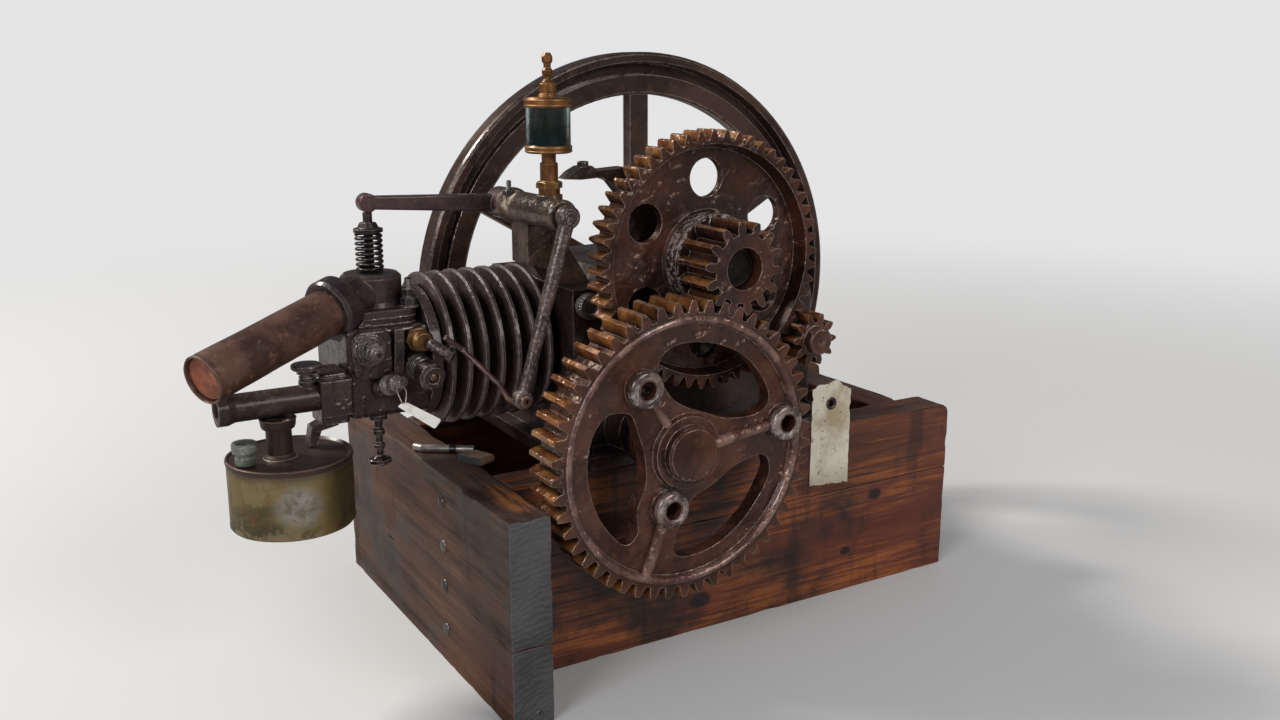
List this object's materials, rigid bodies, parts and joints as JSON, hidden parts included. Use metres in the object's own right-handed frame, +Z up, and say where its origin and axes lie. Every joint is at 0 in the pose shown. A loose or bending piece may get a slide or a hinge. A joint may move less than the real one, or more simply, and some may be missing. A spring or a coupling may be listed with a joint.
{
  "type": "hit-and-miss engine",
  "caption": "Air-cooled horizontal engine with one flywheel and a two-stage gear train to a three-hole pump wheel, on a timber stand.",
  "frame": {"origin": "on the floor under the middle of the left timber", "axes": "+Z up, +X along the two long beams away from the cylinder head, +Y back from the gears to the flywheel"},
  "size_m": [0.7994, 0.41, 0.544],
  "materials": {
    "timber": "old oiled timber",
    "oily_iron": "oily cast iron",
    "gear_iron": "greasy rusty cast iron",
    "steel": "worn oily steel",
    "rusty_pipe": "rusted pipe",
    "brass": "worn brass",
    "glass": "dark oil behind glass",
    "paper": "stained card",
    "tank_iron": "worn paint over rust"
  },
  "bodies": {
    "frame": {"side_board_lower": "timber", "side_board_upper": "timber", "front_beam_lower": "timber", "front_beam_upper": "timber", "back_beam_lower": "timber", "back_beam_upper": "timber", "cross_board": "timber", "crankcase": "oily_iron", "cylinder": "oily_iron", "cylinder_head": "oily_iron", "valve_chest": "oily_iron", "rocker_bearing": "oily_iron", "igniter": "oily_iron", "mixer": "oily_iron", "air_intake": "oily_iron", "filler_cap": "oily_iron", "tank_strap": "oily_iron", "drain_rod": "oily_iron", "idler_stud": "steel", "valve_spring": "steel", "igniter_terminal": "steel", "spring_housing": "steel", "trip_bar": "steel", "steel_elbow": "steel", "deck_rod": "steel", "muffler": "rusty_pipe", "muffler_cap": "rusty_pipe", "wood_shim": "timber", "paper_tag": "paper", "oiler_body": "brass", "brass_fitting": "brass", "oiler_glass": "glass", "fuel_tank": "tank_iron"},
    "crank": {"crankshaft": "steel", "crank_pinion": "gear_iron", "flywheel": "oily_iron"},
    "idler": {"idler_gear": "gear_iron"},
    "pump_wheel": {"pump_gear": "gear_iron", "pump_shaft": "steel"},
    "rocker": {"rocker_arm": "steel", "push_lever": "steel", "trip_rod": "steel"},
    "valve": {"exhaust_valve": "steel"},
    "knob": {"needle_knob": "oily_iron"}
  },
  "joints": [
    {"name": "crank_spin", "type": "hinge", "parent": "frame", "child": "crank", "pos_m": [0.312, 0, 0.284], "axis": [0, 1, 0], "continuous": true},
    {"name": "idler_spin", "type": "hinge", "parent": "frame", "child": "idler", "pos_m": [0.20759, -0.15, 0.36351], "axis": [0, 1, 0], "continuous": true},
    {"name": "pump_spin", "type": "hinge", "parent": "frame", "child": "pump_wheel", "pos_m": [0.1532, -0.18, 0.21032], "axis": [0, 1, 0], "continuous": true},
    {"name": "rocker_tilt", "type": "hinge", "parent": "frame", "child": "rocker", "pos_m": [0.07, -0.013, 0.41], "axis": [0, -1, 0], "range_deg": [0, 2.7]},
    {"name": "valve_lift", "type": "slide", "parent": "frame", "child": "valve", "axis": [0, 0, -1], "range_m": [0, 0.00594], "deforming": ["valve_spring"]},
    {"name": "knob_turn", "type": "hinge", "parent": "frame", "child": "knob", "pos_m": [-0.128, -0.055, 0.292], "axis": [0, 0, 1], "range_deg": [-90, 90]}
  ],
  "couplings": [
    {"joint": "idler_spin", "follows": "crank_spin", "ratio": -0.19231},
    {"joint": "pump_spin", "follows": "crank_spin", "ratio": 0.053846},
    {"joint": "valve_lift", "follows": "rocker_tilt", "m_per_rad": 0.126}
  ]
}
